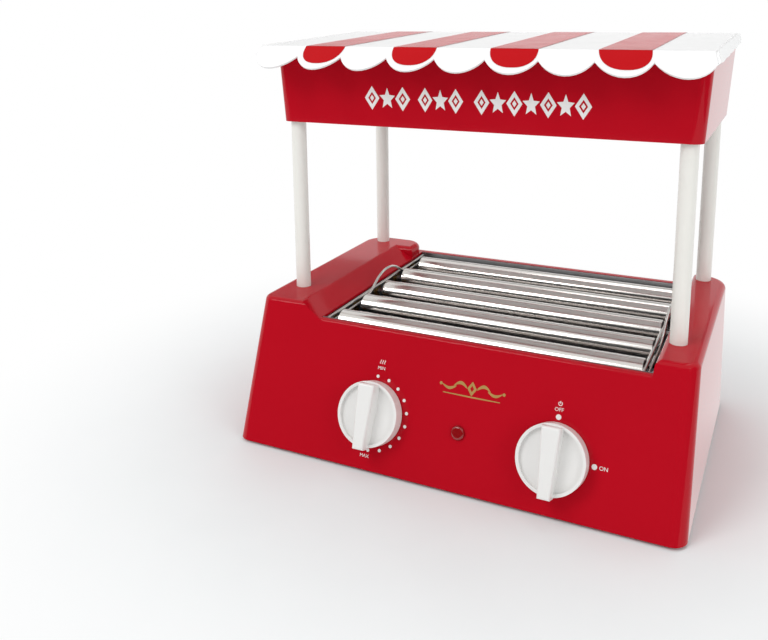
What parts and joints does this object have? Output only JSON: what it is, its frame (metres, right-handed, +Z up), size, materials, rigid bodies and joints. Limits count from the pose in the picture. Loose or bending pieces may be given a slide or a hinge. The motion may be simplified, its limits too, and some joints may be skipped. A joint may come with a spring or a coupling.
{
  "type": "hot dog roller grill",
  "caption": "Countertop hot dog roller grill in glossy red plastic, with chromed heated rollers, two dial knobs and a striped, scalloped canopy on posts.",
  "frame": {"origin": "on the table, under the middle of the whole object", "axes": "+Z up; the control panel faces -Y; +X to the right when facing the panel"},
  "size_m": [0.3964, 0.3088, 0.3668],
  "materials": {
    "red_plastic": "smooth glossy moulded plastic",
    "white_plastic": "smooth moulded plastic",
    "stripe_red": "glossy printed stripe",
    "post_white": "semi-gloss moulded tube",
    "insert_nylon": "plain nylon",
    "roller_chrome": "polished, lightly brushed round the roller",
    "journal_steel": "turned steel",
    "bushing_bronze": "sintered bronze",
    "gear_nylon": "moulded nylon",
    "pin_steel": "turned steel",
    "sheet_steel": "zinc coated sheet",
    "base_steel": "black painted sheet",
    "foot_rubber": "matte black rubber",
    "screw_zinc": "zinc plated",
    "motor_case": "plated can",
    "element_sheath": "dark heat-tinted sheath",
    "rest_steel": "plain strip",
    "ceramic": "off-white ceramic",
    "guard_steel": "bright wire",
    "tray_steel": "pressed sheet",
    "knob_plastic": "semi-gloss light grey",
    "control_case": "dark moulded case",
    "shaft_steel": "turned steel",
    "lens_red": "clear red lens",
    "lamp_glass": "small neon lamp",
    "print_white": "raised white print",
    "gland_rubber": "black grommet",
    "block_plastic": "off-white moulded block"
  },
  "bodies": {
    "grill": {"housing": "red_plastic", "base_plate": "base_steel", "rubber_feet": "foot_rubber", "chassis_screws": "screw_zinc", "end_plate_left": "sheet_steel", "end_plate_right": "sheet_steel", "front_heat_shield": "sheet_steel", "back_heat_shield": "sheet_steel", "bushings": "bushing_bronze", "idler_pins": "pin_steel", "gear_motor": "motor_case", "motor_bracket": "sheet_steel", "heating_element": "element_sheath", "element_insulators": "ceramic", "element_rests": "rest_steel", "guard_left": "guard_steel", "guard_right": "guard_steel", "heater_control": "control_case", "power_switch": "control_case", "indicator_lens": "lens_red", "indicator_lamp": "lamp_glass", "dial_marks": "print_white", "cord_gland": "gland_rubber", "terminal_block": "block_plastic", "post_front_left": "post_white", "post_front_right": "post_white", "post_back_left": "post_white", "post_back_right": "post_white", "post_inserts": "insert_nylon"},
    "canopy": {"canopy_skirt": "red_plastic", "canopy_ceiling": "white_plastic", "canopy_screws": "screw_zinc", "awning": "white_plastic", "awning_stripes": "stripe_red"},
    "tray": {"drip_tray": "tray_steel"},
    "heater_dial": {"heater_knob": "knob_plastic", "heater_shaft": "shaft_steel"},
    "power_dial": {"power_knob": "knob_plastic", "power_shaft": "shaft_steel"},
    "pinion": {"drive_pinion": "gear_nylon"},
    "roller_1": {"roller_tube_1": "roller_chrome", "roller_journals_1": "journal_steel", "roller_gear_1": "gear_nylon"},
    "roller_2": {"roller_tube_2": "roller_chrome", "roller_journals_2": "journal_steel", "roller_gear_2": "gear_nylon"},
    "roller_3": {"roller_tube_3": "roller_chrome", "roller_journals_3": "journal_steel", "roller_gear_3": "gear_nylon"},
    "roller_4": {"roller_tube_4": "roller_chrome", "roller_journals_4": "journal_steel", "roller_gear_4": "gear_nylon"},
    "roller_5": {"roller_tube_5": "roller_chrome", "roller_journals_5": "journal_steel", "roller_gear_5": "gear_nylon"},
    "idler_1": {"idler_gear_1": "gear_nylon"},
    "idler_2": {"idler_gear_2": "gear_nylon"},
    "idler_3": {"idler_gear_3": "gear_nylon"},
    "idler_4": {"idler_gear_4": "gear_nylon"}
  },
  "joints": [
    {"name": "roller_1_spin", "type": "hinge", "parent": "grill", "child": "roller_1", "pos_m": [0, -0.07039, 0.1045], "axis": [1, 0, 0], "continuous": true},
    {"name": "roller_2_spin", "type": "hinge", "parent": "grill", "child": "roller_2", "pos_m": [0, -0.02439, 0.1045], "axis": [1, 0, 0], "continuous": true},
    {"name": "roller_3_spin", "type": "hinge", "parent": "grill", "child": "roller_3", "pos_m": [0, 0.02161, 0.1045], "axis": [1, 0, 0], "continuous": true},
    {"name": "roller_4_spin", "type": "hinge", "parent": "grill", "child": "roller_4", "pos_m": [0, 0.06761, 0.1045], "axis": [1, 0, 0], "continuous": true},
    {"name": "roller_5_spin", "type": "hinge", "parent": "grill", "child": "roller_5", "pos_m": [0, 0.11361, 0.1045], "axis": [1, 0, 0], "continuous": true},
    {"name": "idler_1_spin", "type": "hinge", "parent": "grill", "child": "idler_1", "pos_m": [-0.1428, -0.04739, 0.1045], "axis": [1, 0, 0], "continuous": true},
    {"name": "idler_2_spin", "type": "hinge", "parent": "grill", "child": "idler_2", "pos_m": [-0.1428, -0.00139, 0.1045], "axis": [1, 0, 0], "continuous": true},
    {"name": "idler_3_spin", "type": "hinge", "parent": "grill", "child": "idler_3", "pos_m": [-0.1428, 0.04461, 0.1045], "axis": [1, 0, 0], "continuous": true},
    {"name": "idler_4_spin", "type": "hinge", "parent": "grill", "child": "idler_4", "pos_m": [-0.1428, 0.09061, 0.1045], "axis": [1, 0, 0], "continuous": true},
    {"name": "pinion_spin", "type": "hinge", "parent": "grill", "child": "pinion", "pos_m": [-0.1428, 0.02161, 0.0855], "axis": [1, 0, 0], "continuous": true},
    {"name": "heater_knob_turn", "type": "hinge", "parent": "grill", "child": "heater_dial", "pos_m": [-0.0645, -0.12231, 0.04786], "axis": [0, 0.9392, -0.3433], "range_deg": [0, 180]},
    {"name": "power_knob_turn", "type": "hinge", "parent": "grill", "child": "power_dial", "pos_m": [0.0955, -0.12358, 0.04439], "axis": [0, 0.9392, -0.3433], "range_deg": [0, 90]},
    {"name": "drip_tray_slide", "type": "slide", "parent": "grill", "child": "tray", "axis": [0, 1, 0], "range_m": [0, 0.2]},
    {"name": "canopy_lift", "type": "slide", "parent": "grill", "child": "canopy", "axis": [0, 0, 1], "range_m": [0, 0.03]}
  ],
  "couplings": [
    {"joint": "roller_2_spin", "follows": "roller_1_spin", "ratio": 1},
    {"joint": "roller_3_spin", "follows": "roller_1_spin", "ratio": 1},
    {"joint": "roller_4_spin", "follows": "roller_1_spin", "ratio": 1},
    {"joint": "roller_5_spin", "follows": "roller_1_spin", "ratio": 1},
    {"joint": "idler_1_spin", "follows": "roller_1_spin", "ratio": -1},
    {"joint": "idler_2_spin", "follows": "roller_1_spin", "ratio": -1},
    {"joint": "idler_3_spin", "follows": "roller_1_spin", "ratio": -1},
    {"joint": "idler_4_spin", "follows": "roller_1_spin", "ratio": -1},
    {"joint": "pinion_spin", "follows": "roller_1_spin", "ratio": -1.5333}
  ]
}
